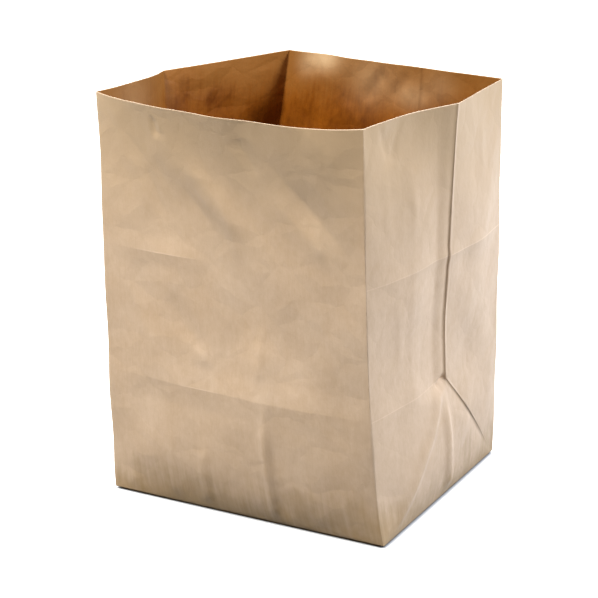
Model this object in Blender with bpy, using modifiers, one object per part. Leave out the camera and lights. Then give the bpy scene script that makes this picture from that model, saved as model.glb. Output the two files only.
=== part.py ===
"""Brown paper lunch bag, standing open: one folded and glued sheet of kraft paper.

Metres, +Z up. The origin is the middle of the base, where the bag stands. The front panel
faces -Y, and the two pleated side gussets face +X and -X.

The bag is made the way the paper is: a flat-sided sheet gets its fold lines cut in, the folds
lean and the panels belly as opened paper does, and Solidify gives the sheet its thickness.
The bottom is then closed with the two mitred flaps that are glued across each other.
"""

from math import pi, sqrt

import bmesh
import bpy
import numpy as np

# Finished size of the bag, measured along its folds
WIDTH = 0.180
DEPTH = 0.152
HEIGHT = 0.240

# Paper and its glued laps
PAPER = 0.00015
LAP_WIDTH = 0.020
LAP_INNER_EDGE_X = 0.026
LAP_RELAX = 0.010
FLAP_OVERLAP = 0.016
FLAP_TIP = 0.002
FLAP_SETBACK = 0.0003
FLAP_GROOVE = 0.0005
GLUE_DEPTH = 0.00005
LINER_MARGIN = 0.004

# Size of one facet of the paper, the width of the step at a lapped edge, and how far a
# facet line keeps from a fold line
FACET = 0.0095
STEP = 0.0002
FOLD_CLEARANCE = 0.0040

# How far each fold leans from its base corner to the rim: right, back and up
FRONT_LEFT_LEAN = (-0.0092, 0.0149, -0.0014)
FRONT_RIGHT_LEAN = (-0.0052, -0.0118, -0.0007)
BACK_RIGHT_LEAN = (0.0116, -0.0230, 0.0017)
BACK_LEFT_LEAN = (0.0275, 0.0216, -0.0010)
RIGHT_PLEAT_LEAN = (0.0164, -0.0187, 0.0017)
LEFT_PLEAT_LEAN = (-0.0172, 0.0197, -0.0041)

# How far the upright folds bow sideways at mid height
FRONT_RIGHT_BOW = (-0.0038, -0.0010)
FRONT_LEFT_BOW = (-0.0010, 0.0)
BACK_RIGHT_BOW = (0.0006, 0.0006)
BACK_LEFT_BOW = (-0.0010, 0.0010)
BOW_SKEW = 0.7

# Bellies of the panels
RIM_BOW = 0.0110
RIM_BOW_DROP = 0.0018
RIM_BOW_REACH = 0.085
FRONT_BELLY = 0.0052
BACK_BELLY = 0.0040
SIDE_BELLY = 0.0028
BELLY_HEIGHT = 0.050
WAIST_HEIGHT = 0.150
SIDE_RIM_DIP = 0.0036
HALF_PLEAT_BELLY = 0.0022
PLATEAU_SHARPNESS = 1.5

# Fold lines left by the flat-folded bag: depth of the kink and how far it spreads
BASE_CREASE_DEPTH = 0.0011
BASE_CREASE_SPREAD = 0.016
IMPRINT_CREASE_DEPTH = 0.0007
IMPRINT_CREASE_SPREAD = 0.014

# Pleats: the back half of a gusset overlaps the front half and the mitre by a small lip
PLEAT_TUCK_DEPTH = 0.0026
PLEAT_TUCK_SPREAD = 0.016
MITRE_TUCK_DEPTH = 0.0018
MITRE_TUCK_SPREAD = 0.014
TUCK_LIP = 0.0012
POCKET_DEPTH = 0.008
MITRE_START = 0.024
PLEAT_OPENING = 0.7
BUCKLE_FADE = 0.3

# Soft buckles of the front panel: start, end (across from the left fold, up), width, height
FRONT_BUCKLES = (
    ((0.046, 0.222), (0.104, 0.160), 0.011, 0.0026),
    ((0.132, 0.205), (0.168, 0.172), 0.010, 0.0022),
    ((0.047, 0.133), (0.074, 0.096), 0.010, 0.0014),
    ((0.110, 0.118), (0.114, 0.014), 0.010, 0.0012),
)
SIDE_BUCKLES = (
    ((0.018, 0.236), (0.028, 0.215), 0.008, -0.0012),
    ((0.088, 0.152), (0.150, 0.147), 0.010, 0.0010),
    ((0.084, 0.060), (0.086, 0.004), 0.008, 0.0012),
)

PAPER_COLOUR = (0.610, 0.456, 0.305, 1.0)
PAPER_ROUGHNESS = 0.85

NODE_NAME = "paper_bag"
LAP_GROUP = "glued_lap"
TOUCH = 1e-6


def clear_scene():
    """Remove every object, so that the script can be run again."""
    for old in list(bpy.data.objects):
        bpy.data.objects.remove(old, do_unlink=True)


def new_collection(name):
    """A collection of that name in the scene."""
    collection = bpy.data.collections.get(name)
    if collection is None:
        collection = bpy.data.collections.new(name)
        bpy.context.scene.collection.children.link(collection)
    return collection


def kraft_paper():
    """Dull brown kraft paper."""
    material = bpy.data.materials.new("kraft_paper")
    material.use_nodes = True
    shader = material.node_tree.nodes["Principled BSDF"]
    shader.inputs["Base Color"].default_value = PAPER_COLOUR
    shader.inputs["Roughness"].default_value = PAPER_ROUGHNESS
    shader.inputs["Metallic"].default_value = 0.0
    return material


def evenly(low, high):
    """Places between two ends, about one facet apart, without the ends."""
    count = max(1, round((high - low) / FACET))
    return list(np.linspace(low, high, count + 1)[1:-1])


def between_folds(places, folds):
    """All the fold places, with the plain places that aren't too near one of them."""
    free = [p for p in places if min(abs(p - f) for f in folds) > FOLD_CLEARANCE]
    return sorted(free + list(folds))


def cut(sheet, faces, point, normal):
    """Cut those faces of the sheet along a plane."""
    edges = {edge for face in faces for edge in face.edges}
    verts = {vert for face in faces for vert in face.verts}
    bmesh.ops.bisect_plane(
        sheet,
        geom=list(faces) + list(edges) + list(verts),
        dist=TOUCH,
        plane_co=point,
        plane_no=normal,
    )


def wall_faces(sheet, direction):
    """The faces whose outside looks along a direction."""
    sheet.normal_update()
    return [f for f in sheet.faces if f.normal.dot(direction) > 0.9]


def flat_sheet():
    """The bag as straight paper walls and base with every fold line cut in."""
    sheet = bmesh.new()
    bmesh.ops.create_cube(sheet, size=1.0)
    bmesh.ops.scale(sheet, vec=(WIDTH, DEPTH, HEIGHT - PAPER), verts=sheet.verts)
    bmesh.ops.translate(sheet, vec=(0.0, 0.0, (HEIGHT + PAPER) / 2), verts=sheet.verts)
    bmesh.ops.delete(sheet, geom=wall_faces(sheet, (0, 0, 1)), context="FACES")

    fold = DEPTH / 2
    across = evenly(-WIDTH / 2, WIDTH / 2)
    lap_start = LAP_INNER_EDGE_X - LAP_WIDTH
    lap_end = LAP_INNER_EDGE_X + LAP_RELAX
    lap_steps = [lap_start - STEP, lap_start, LAP_INNER_EDGE_X, LAP_INNER_EDGE_X + STEP, lap_end]
    for x in across:
        cut(sheet, wall_faces(sheet, (0, -1, 0)), (x, 0, 0), (1, 0, 0))
    for x in between_folds(across, lap_steps):
        cut(sheet, wall_faces(sheet, (0, 1, 0)), (x, 0, 0), (1, 0, 0))

    half = evenly(0.0, fold)
    pleat = [-PLEAT_TUCK_SPREAD, -TUCK_LIP, 0.0]
    for side in (-1, 1):
        for y in between_folds([-y for y in half] + half, pleat):
            cut(sheet, wall_faces(sheet, (side, 0, 0)), (0, y, 0), (0, 1, 0))
    creases = [fold - BASE_CREASE_SPREAD, fold - POCKET_DEPTH, fold, fold + BASE_CREASE_SPREAD]
    creases += [DEPTH - IMPRINT_CREASE_SPREAD, DEPTH, DEPTH + IMPRINT_CREASE_SPREAD]
    plain = half + [fold + z for z in half] + evenly(DEPTH, HEIGHT)
    for z in between_folds(plain, creases):
        sheet.normal_update()
        cut(sheet, [f for f in sheet.faces if abs(f.normal.z) < 0.5], (0, 0, z), (0, 0, 1))
    for side in (-1, 1):
        for slope, inward in ((-1, 0.0), (1, 0.0), (1, TUCK_LIP), (1, MITRE_TUCK_SPREAD)):
            low = [f for f in wall_faces(sheet, (side, 0, 0)) if f.calc_center_median().z < fold]
            corner = (0, slope * (fold - sqrt(2) * inward), 0)
            cut(sheet, low, corner, (0, slope, 1))
    bmesh.ops.triangulate(sheet, faces=[f for f in sheet.faces if abs(f.normal.z) < 0.5])
    return sheet


def smooth(x):
    """0 below 0, 1 above 1, and a soft S between."""
    x = np.clip(x, 0.0, 1.0)
    return x * x * (3.0 - 2.0 * x)


def hump(z, peak, end):
    """A soft hill over the height: nothing at the base and at end, 1 at peak."""
    return np.where(z < peak, smooth(z / peak), smooth((end - z) / (end - peak)))


def tent(distance, spread):
    """1 on a fold line, falling straight to nothing at the spread."""
    return np.clip(1.0 - np.abs(distance) / spread, 0.0, None)


def tucked(distance, spread):
    """The dip beside an overlapping lip: steep from the fold, then easing out to the spread."""
    return np.clip(np.minimum(distance / TUCK_LIP, (spread - distance) / (spread - TUCK_LIP)), 0, 1)


def plateau(share):
    """Across a panel: nothing at its folds, nearly 1 over most of it."""
    arch = np.sin(pi * np.clip(share, 0.0, 1.0))
    return 1.0 - (1.0 - arch) ** PLATEAU_SHARPNESS


def buckle(across, up, start, end, width, height):
    """A soft ridge along a line on a panel, fading at both its ends."""
    start = np.array(start)
    along = np.array(end) - start
    length = np.hypot(*along)
    along = along / length
    from_start = np.stack([across, up], axis=-1) - start
    run = from_start @ along
    off = from_start @ np.array((-along[1], along[0]))
    soften = BUCKLE_FADE * length
    fade = smooth(run / soften) * smooth((length - run) / soften)
    return height * fade * np.exp(-((off / width) ** 2))


def upright_fold(z, corner, lean, bow):
    """Points of a corner fold at some heights: a leaning line that bows at mid height."""
    share = z / HEIGHT
    swell = np.sin(pi * np.clip(share, 0.0, 1.0) ** BOW_SKEW)
    return np.stack(
        [
            corner[0] + lean[0] * share + bow[0] * swell,
            corner[1] + lean[1] * share + bow[1] * swell,
            z + lean[2] * share,
        ],
        axis=-1,
    )


def pleat_fold(z, side, lean):
    """Points of a gusset's middle fold: upright to the mitre's tip, then leaning to the rim."""
    share = np.clip((z - DEPTH / 2) / (HEIGHT - DEPTH / 2), 0.0, 1.0)
    return np.stack(
        [side * WIDTH / 2 + lean[0] * share, lean[1] * share, z + lean[2] * share], axis=-1
    )


def mitre_fold(z, side, end):
    """Points of the fold that climbs at 45 degrees from a base corner to the mitre's tip."""
    climb = np.minimum(z, DEPTH / 2)
    return np.stack(
        [np.full_like(z, side * WIDTH / 2), end * (DEPTH / 2 - climb), z], axis=-1
    )


def blend(place, low_place, high_place, low_point, high_point):
    """Points on the straight line between two folds."""
    span = np.maximum(high_place - low_place, TOUCH)
    share = np.clip((place - low_place) / span, 0.0, 1.0)[:, None]
    return low_point + (high_point - low_point) * share


def front_wall(x, z):
    """The front panel: bowed out at the rim, waisted, bellied above the base."""
    left = upright_fold(z, (-WIDTH / 2, -DEPTH / 2), FRONT_LEFT_LEAN, FRONT_LEFT_BOW)
    right = upright_fold(z, (WIDTH / 2, -DEPTH / 2), FRONT_RIGHT_LEAN, FRONT_RIGHT_BOW)
    points = blend(x, -WIDTH / 2, WIDTH / 2, left, right)
    share = x / WIDTH + 0.5
    across = plateau(share)
    opened = smooth(1.0 - (HEIGHT - z) / RIM_BOW_REACH)
    out = RIM_BOW * opened + FRONT_BELLY * hump(z, BELLY_HEIGHT, WAIST_HEIGHT)
    out = out - BASE_CREASE_DEPTH * tent(z - DEPTH / 2, BASE_CREASE_SPREAD)
    out = out - IMPRINT_CREASE_DEPTH * tent(z - DEPTH, IMPRINT_CREASE_SPREAD)
    for start, end, width, height in FRONT_BUCKLES:
        out = out + buckle(x + WIDTH / 2, z, start, end, width, height)
    points[:, 1] -= out * across
    points[:, 2] -= RIM_BOW_DROP * opened * across * z / HEIGHT
    return points


def lap_lift(x):
    """How far the outer layer stands off at the glued lap and just past it."""
    start = LAP_INNER_EDGE_X - LAP_WIDTH
    rise = np.clip((x - (start - STEP)) / STEP, 0.0, 1.0)
    fall = np.clip((LAP_INNER_EDGE_X + LAP_RELAX - x) / LAP_RELAX, 0.0, 1.0)
    return PAPER * rise * fall


def back_wall(x, z):
    """The back panel, with the long glued lap that closes the sheet."""
    left = upright_fold(z, (-WIDTH / 2, DEPTH / 2), BACK_LEFT_LEAN, BACK_LEFT_BOW)
    right = upright_fold(z, (WIDTH / 2, DEPTH / 2), BACK_RIGHT_LEAN, BACK_RIGHT_BOW)
    points = blend(x, -WIDTH / 2, WIDTH / 2, left, right)
    across = plateau(x / WIDTH + 0.5)
    points[:, 1] += BACK_BELLY * hump(z, BELLY_HEIGHT, WAIST_HEIGHT) * across
    points[:, 1] += lap_lift(x)
    return points


def gusset_wall(y, z, side):
    """A side gusset: mitred triangle at the base, then two half pleats up to the rim."""
    fold = DEPTH / 2
    if side > 0:
        front_lean, front_bow = FRONT_RIGHT_LEAN, FRONT_RIGHT_BOW
        back_lean, back_bow = BACK_RIGHT_LEAN, BACK_RIGHT_BOW
        pleat_lean = RIGHT_PLEAT_LEAN
    else:
        front_lean, front_bow = FRONT_LEFT_LEAN, FRONT_LEFT_BOW
        back_lean, back_bow = BACK_LEFT_LEAN, BACK_LEFT_BOW
        pleat_lean = LEFT_PLEAT_LEAN
    front = upright_fold(z, (side * WIDTH / 2, -fold), front_lean, front_bow)
    back = upright_fold(z, (side * WIDTH / 2, fold), back_lean, back_bow)
    pleat = pleat_fold(z, side, pleat_lean)
    front_mitre = mitre_fold(z, side, -1)
    back_mitre = mitre_fold(z, side, 1)
    low = z < fold
    reach = np.where(low, fold - z, 0.0)
    front_end = np.where(low[:, None], front_mitre, pleat)
    back_end = np.where(low[:, None], back_mitre, pleat)
    points = np.where(
        (y < -reach)[:, None],
        blend(y, -fold, -reach, front, front_end),
        np.where(
            (y > reach)[:, None],
            blend(y, reach, fold, back_end, back),
            blend(y, -reach, reach, front_end, back_end),
        ),
    )
    from_front = y + fold
    edge = plateau(from_front / DEPTH)
    half = np.abs(np.sin(2 * pi * np.clip(from_front / DEPTH, 0.0, 1.0)))
    opened = smooth(1.0 - (HEIGHT - z) / RIM_BOW_REACH)
    out = SIDE_BELLY * hump(z, BELLY_HEIGHT, WAIST_HEIGHT) * edge
    out = out + HALF_PLEAT_BELLY * smooth((z - fold) / fold) * half * (1.0 - opened)
    out = out - SIDE_RIM_DIP * opened * half * (y < 0)
    pleated = smooth((z - fold + POCKET_DEPTH) / POCKET_DEPTH) * (1.0 - PLEAT_OPENING * opened)
    mitred = np.where(low & (y > -reach), smooth(z / MITRE_START), 0.0)
    off_mitre = (fold - z - y) / sqrt(2)
    pleat_dip = PLEAT_TUCK_DEPTH * tucked(-y, PLEAT_TUCK_SPREAD) * pleated
    mitre_dip = MITRE_TUCK_DEPTH * tucked(off_mitre, MITRE_TUCK_SPREAD) * mitred
    out = out - np.maximum(pleat_dip, mitre_dip)
    crease = tent(z - fold, BASE_CREASE_SPREAD) * (y < 0) * half
    out = out - BASE_CREASE_DEPTH * crease
    if side > 0:
        for start, end, width, height in SIDE_BUCKLES:
            out = out + buckle(from_front, z, start, end, width, height) * edge
    points[:, 0] += side * out
    return points


def shape_sheet(sheet):
    """Move every point of the flat-sided sheet to where the opened bag has it."""
    flat = np.array([vert.co[:] for vert in sheet.verts])
    x, y, z = flat.T
    shaped = flat.copy()
    walls = (
        (np.abs(y + DEPTH / 2) < TOUCH, lambda m: front_wall(x[m], z[m])),
        (np.abs(y - DEPTH / 2) < TOUCH, lambda m: back_wall(x[m], z[m])),
        (np.abs(x - WIDTH / 2) < TOUCH, lambda m: gusset_wall(y[m], z[m], 1)),
        (np.abs(x + WIDTH / 2) < TOUCH, lambda m: gusset_wall(y[m], z[m], -1)),
    )
    upright = z > PAPER + TOUCH
    for on_wall, wall in walls:
        moved = on_wall & upright
        shaped[moved] = wall(moved)
    for vert, place in zip(sheet.verts, shaped):
        vert.co = place


def glued_lap_points(sheet):
    """Indexes of the points where two layers are glued into one wall of double thickness."""
    start = LAP_INNER_EDGE_X - LAP_WIDTH
    return [
        vert.index
        for vert in sheet.verts
        if abs(vert.co.y - DEPTH / 2) < TOUCH
        and start - TOUCH < vert.co.x < LAP_INNER_EDGE_X + TOUCH
    ]


def bag_body(collection, paper):
    """The walls and base of the bag as one sheet of paper thickness."""
    sheet = flat_sheet()
    sheet.verts.index_update()
    lapped = glued_lap_points(sheet)
    shape_sheet(sheet)
    mesh = bpy.data.meshes.new(NODE_NAME)
    sheet.to_mesh(mesh)
    sheet.free()
    mesh.materials.append(paper)
    body = bpy.data.objects.new(NODE_NAME, mesh)
    collection.objects.link(body)
    body.vertex_groups.new(name=LAP_GROUP).add(lapped, 1.0, "REPLACE")
    thick = body.modifiers.new("paper", "SOLIDIFY")
    thick.thickness = 2 * PAPER
    thick.vertex_group = LAP_GROUP
    thick.thickness_vertex_group = 0.5
    thick.offset = -1.0
    thick.use_even_offset = True
    return body


def prism(name, outline, low, high, collection):
    """A flat closed outline given a height, for a Boolean to use."""
    shape = bmesh.new()
    face = shape.faces.new([shape.verts.new((x, y, low)) for x, y in outline])
    shape.normal_update()
    if face.normal.z > 0:
        face.normal_flip()
    top = bmesh.ops.extrude_face_region(shape, geom=[face])
    raised = [item for item in top["geom"] if isinstance(item, bmesh.types.BMVert)]
    bmesh.ops.translate(shape, vec=(0, 0, high - low), verts=raised)
    bmesh.ops.recalc_face_normals(shape, faces=shape.faces)
    mesh = bpy.data.meshes.new(name)
    shape.to_mesh(mesh)
    shape.free()
    piece = bpy.data.objects.new(name, mesh)
    collection.objects.link(piece)
    piece.hide_render = True
    piece.display_type = "WIRE"
    return piece


def join(body, tool, operation):
    """Add a Boolean with another shape to the body."""
    boolean = body.modifiers.new(tool.name, "BOOLEAN")
    boolean.operation = operation
    boolean.solver = "EXACT"
    boolean.object = tool


def flap_sizes():
    """Half the flaps' hinge length, how far out the hinge lies, and where the free edge is.

    The sides are mitred at 45 degrees, so a flap can reach no further than its own point.
    """
    hinge_half = WIDTH / 2 - FLAP_SETBACK * (1 + sqrt(2))
    hinge_y = DEPTH / 2 - FLAP_SETBACK
    free_y = max(-FLAP_OVERLAP / 2, hinge_y - hinge_half + FLAP_TIP)
    return hinge_half, hinge_y, free_y


def base_flaps(body, shapes):
    """The two mitred flaps glued across the base, the back one outermost."""
    hinge_half, hinge_y, free_y = flap_sizes()
    cross = hinge_half - hinge_y
    tip = cross + free_y
    gap = FLAP_GROOVE
    top = PAPER + GLUE_DEPTH
    outer = [(-hinge_half, hinge_y), (-tip, free_y), (tip, free_y), (hinge_half, hinge_y)]
    inner = [
        (-hinge_half, -hinge_y),
        (hinge_half, -hinge_y),
        (cross + gap / 2, -gap / 2),
        (tip + gap / 2, free_y - gap),
        (-tip - gap / 2, free_y - gap),
        (-cross - gap / 2, -gap / 2),
    ]
    join(body, prism("outer_flap", outer, 0.0, top, shapes), "UNION")
    join(body, prism("inner_flap", inner, 0.0, top, shapes), "UNION")


def liner_gap(body, shapes):
    """Inside, the two folded-in gusset ends stop short of each other along the middle."""
    hinge_half, hinge_y, free_y = flap_sizes()
    half = hinge_half - hinge_y + free_y
    near = LINER_MARGIN - free_y
    far = hinge_y - LINER_MARGIN
    floor_top = 2 * PAPER
    for end, name in ((1, "back_liner_gap"), (-1, "front_liner_gap")):
        outline = [(-half, end * near), (half, end * near), (half, end * far), (-half, end * far)]
        tool = prism(name, outline, PAPER + GLUE_DEPTH / 2, floor_top + PAPER, shapes)
        join(body, tool, "DIFFERENCE")


def main():
    """Build the bag."""
    clear_scene()
    bag = new_collection("paper_lunch_bag")
    shapes = new_collection("shaping_bodies")
    body = bag_body(bag, kraft_paper())
    base_flaps(body, shapes)
    liner_gap(body, shapes)


main()
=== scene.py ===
"""Looks of the brown paper lunch bag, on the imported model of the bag.

Metres, +Z up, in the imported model's frame: the origin is the middle of the base, the front
panel faces -Y, and the two pleated side gussets face +X and -X. The bag is one folded sheet of
kraft paper, so it is one loft round its walls: every point is worked out from the fold lines,
on a grid whose columns follow the folds, and the sheet's thickness is laid inwards from it.
"""

from __future__ import annotations

import logging
from dataclasses import dataclass
from enum import Enum
from functools import partial
from math import cos, pi, radians, sin, sqrt
from typing import Any

import bpy
import numpy as np
from mathutils import Matrix, Vector

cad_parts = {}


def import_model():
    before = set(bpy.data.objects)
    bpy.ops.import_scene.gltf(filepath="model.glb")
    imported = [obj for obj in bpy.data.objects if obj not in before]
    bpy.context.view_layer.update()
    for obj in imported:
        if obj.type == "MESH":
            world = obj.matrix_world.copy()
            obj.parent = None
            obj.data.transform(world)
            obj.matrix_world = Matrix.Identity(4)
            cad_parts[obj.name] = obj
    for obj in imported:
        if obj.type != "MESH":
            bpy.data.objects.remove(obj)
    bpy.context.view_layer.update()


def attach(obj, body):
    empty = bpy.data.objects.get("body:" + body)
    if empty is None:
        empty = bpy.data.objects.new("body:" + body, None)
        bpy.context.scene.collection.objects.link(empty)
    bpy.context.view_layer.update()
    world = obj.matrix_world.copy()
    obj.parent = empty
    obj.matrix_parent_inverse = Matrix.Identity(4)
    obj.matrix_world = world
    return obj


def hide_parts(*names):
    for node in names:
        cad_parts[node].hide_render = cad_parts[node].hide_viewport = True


Array = np.ndarray
Point2 = tuple[float, float]
Point3 = tuple[float, float, float]

TINY = 1e-6

log = logging.getLogger("paper_bag")


class Side(Enum):
    """The two pleated gussets, by the direction they face along X."""

    RIGHT = 1
    LEFT = -1


class Fold(Enum):
    """How a relief line bends the paper."""

    SOFT = "a round swelling across the line"
    CRISP = "a straight-sided kink that is sharp along the line"
    HINGE = "the paper on the line's left-hand side leans out, up to the width"


def smooth(x: Array) -> Array:
    """Soft S: 0 below 0, 1 above 1, and 3x^2 - 2x^3 between."""
    x = np.clip(x, 0.0, 1.0)
    return x * x * (3.0 - 2.0 * x)


def tent(distance: Array, spread: float) -> Array:
    """Straight-sided ridge: 1 on the line, falling evenly to nothing at the spread."""
    return np.clip(1.0 - np.abs(distance) / spread, 0.0, None)


def plateau(share: Array, sharpness: float) -> Array:
    """Nothing at a panel's two folds and nearly 1 between: 1 - (1 - sin)^sharpness."""
    arch = np.sin(pi * np.clip(share, 0.0, 1.0))
    return 1.0 - (1.0 - arch) ** sharpness


def between(place: Array, low: Array, high: Array, low_point: Array, high_point: Array) -> Array:
    """Points on straight lines from the low fold to the high one, by their flat places."""
    share = np.clip((place - low) / np.maximum(high - low, TINY), 0.0, 1.0)[:, None]
    return low_point + (high_point - low_point) * share


def linear(hex_colour: str) -> tuple[float, float, float, float]:
    """Turn an sRGB hex colour into Blender's linear one.

    Args:
        hex_colour: Six hex digits with a leading #.

    Returns:
        Red, green and blue in linear light, and full opacity.
    """
    parts = [int(hex_colour[i : i + 2], 16) / 255 for i in (1, 3, 5)]
    red, green, blue = (
        c / 12.92 if c <= 0.04045 else ((c + 0.055) / 1.055) ** 2.4 for c in parts
    )
    return (red, green, blue, 1.0)


def add_node(
    tree: bpy.types.NodeTree,
    kind: str,
    settings: dict[str, Any] | None = None,
    inputs: dict[str | int, Any] | None = None,
    links: dict[str | int, bpy.types.NodeSocket | None] | None = None,
) -> bpy.types.Node:
    """Add one shader node with its settings and links.

    Args:
        tree: Node tree that gets the node.
        kind: Blender's name for the node type.
        settings: Attributes to set on the node.
        inputs: Values for its input sockets, by name or number.
        links: Sockets that feed its inputs, by name or number; None keeps the input's value.

    Returns:
        The new node.
    """
    node = tree.nodes.new(kind)
    for name, value in (settings or {}).items():
        setattr(node, name, value)
    for name, value in (inputs or {}).items():
        node.inputs[name].default_value = value
    for name, socket in (links or {}).items():
        if socket is not None:
            tree.links.new(socket, node.inputs[name])
    return node


@dataclass(frozen=True)
class UprightFold:
    """A fold from a base corner to the rim, leaning and bowed at mid height.

    Attributes:
        corner: Right and back of the fold's foot.
        lean: How far the rim end lies right, back and up of upright.
        bow: Sideways bow at mid height, right and back.
        skew: Power that moves the bow's peak below mid height.
    """

    corner: Point2
    lean: Point3
    bow: Point2
    skew: float = 0.7

    def points(self, z: Array, height: float) -> Array:
        """Foot + lean * share + bow * sin(pi * share^skew), with share = z / height.

        Args:
            z: Heights on the flat sheet.
            height: Height of the rim.

        Returns:
            One point for each height.
        """
        share = z / height
        swell = np.sin(pi * np.clip(share, 0.0, 1.0) ** self.skew)
        return np.stack(
            [
                self.corner[0] + self.lean[0] * share + self.bow[0] * swell,
                self.corner[1] + self.lean[1] * share + self.bow[1] * swell,
                z + self.lean[2] * share,
            ],
            axis=-1,
        )


@dataclass(frozen=True)
class ReliefLine:
    """One crease, ridge or dent of the paper, along a straight line on a panel.

    Attributes:
        start: Place across the panel and height where it starts.
        end: Where it ends.
        width: Distance from the line at which it has mostly faded.
        height: How far it stands out of the panel, or in when negative.
        fold: How it bends the paper.
        fade: Share of its length over which each end fades out.
    """

    start: Point2
    end: Point2
    width: float
    height: float
    fold: Fold = Fold.CRISP
    fade: float = 0.3

    def relief(self, across: Array, up: Array) -> Array:
        """Height of the relief: its fade times a bell exp(-d^2 / w^2), a ramp or a tent of d.

        d is the distance to the left of the line, and the fade is a soft S in from each end.

        Args:
            across: Place across the panel of each point.
            up: Height of each point on the flat sheet.

        Returns:
            How far each point moves out.
        """
        along = np.array(self.end) - np.array(self.start)
        length = float(np.hypot(*along))
        along = along / length
        right, rise = across - self.start[0], up - self.start[1]
        run = right * along[0] + rise * along[1]
        off = rise * along[0] - right * along[1]
        soften = max(self.fade * length, TINY)
        fade = smooth(run / soften) * smooth((length - run) / soften)
        if self.fold is Fold.SOFT:
            return self.height * fade * np.exp(-((off / self.width) ** 2))
        if self.fold is Fold.HINGE:
            return self.height * fade * np.clip(off / self.width, 0.0, 1.0)
        return self.height * fade * tent(off, self.width)


def relief_lines(*rows: tuple[Any, ...]) -> tuple[ReliefLine, ...]:
    """Relief lines from rows of their values."""
    return tuple(ReliefLine(*row) for row in rows)


@dataclass
class Shell:
    """Mesh data of one or more closed surfaces, with what the finish reads.

    Attributes:
        points: One row for each vertex.
        faces: Vertex numbers of the faces, in groups with the same number of corners.
        sheet: Place on the flat sheet, round the bag and up, for each vertex.
        inside: 1 on the inside of the bag.
        rub_and_highlight: 1 where the paper is lighter, partly rubbed and partly painted highlight.
    """

    points: Array
    faces: list[Array]
    sheet: Array
    inside: Array
    # Lighter marks: partly rubbed paper, partly painted highlight and painted sheen
    rub_and_highlight: Array

    @staticmethod
    def joined(parts: list[Shell]) -> Shell:
        """Several shells as one, each with its vertex numbers moved on.

        Args:
            parts: Shells to join.

        Returns:
            The joined shell.
        """
        starts = np.cumsum([0] + [len(part.points) for part in parts])
        faces = [group + start for part, start in zip(parts, starts) for group in part.faces]
        return Shell(
            points=np.vstack([part.points for part in parts]),
            faces=faces,
            sheet=np.vstack([part.sheet for part in parts]),
            inside=np.concatenate([part.inside for part in parts]),
            rub_and_highlight=np.concatenate([part.rub_and_highlight for part in parts]),
        )

    def as_object(self, name: str, finishes: list[bpy.types.Material]) -> bpy.types.Object:
        """Put the shell into a mesh object at the origin.

        Args:
            name: Name of the piece.
            finishes: Finish of the outside and of the inside.

        Returns:
            The new object, linked to the scene.
        """
        mesh = bpy.data.meshes.new(name)
        faces = [face for group in self.faces for face in group.tolist()]
        mesh.from_pydata(self.points.tolist(), [], faces)
        mesh.update()
        mesh.shade_smooth()
        sheet = mesh.attributes.new("sheet", "FLOAT_VECTOR", "POINT")
        sheet.data.foreach_set("vector", np.ascontiguousarray(self.sheet, float).ravel())
        # Lighter marks: partly rubbed paper, partly painted highlight and painted sheen
        rub_and_highlight = mesh.attributes.new("rub_and_highlight", "FLOAT", "POINT")
        rub_and_highlight.data.foreach_set("value", np.ascontiguousarray(self.rub_and_highlight, float))
        for finish in finishes:
            mesh.materials.append(finish)
        leading = self.inside[np.concatenate([group[:, 0] for group in self.faces])]
        mesh.polygons.foreach_set("material_index", (leading > 0.5).astype(np.int32))
        piece = bpy.data.objects.new(name, mesh)
        bpy.context.scene.collection.objects.link(piece)
        return piece


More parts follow.
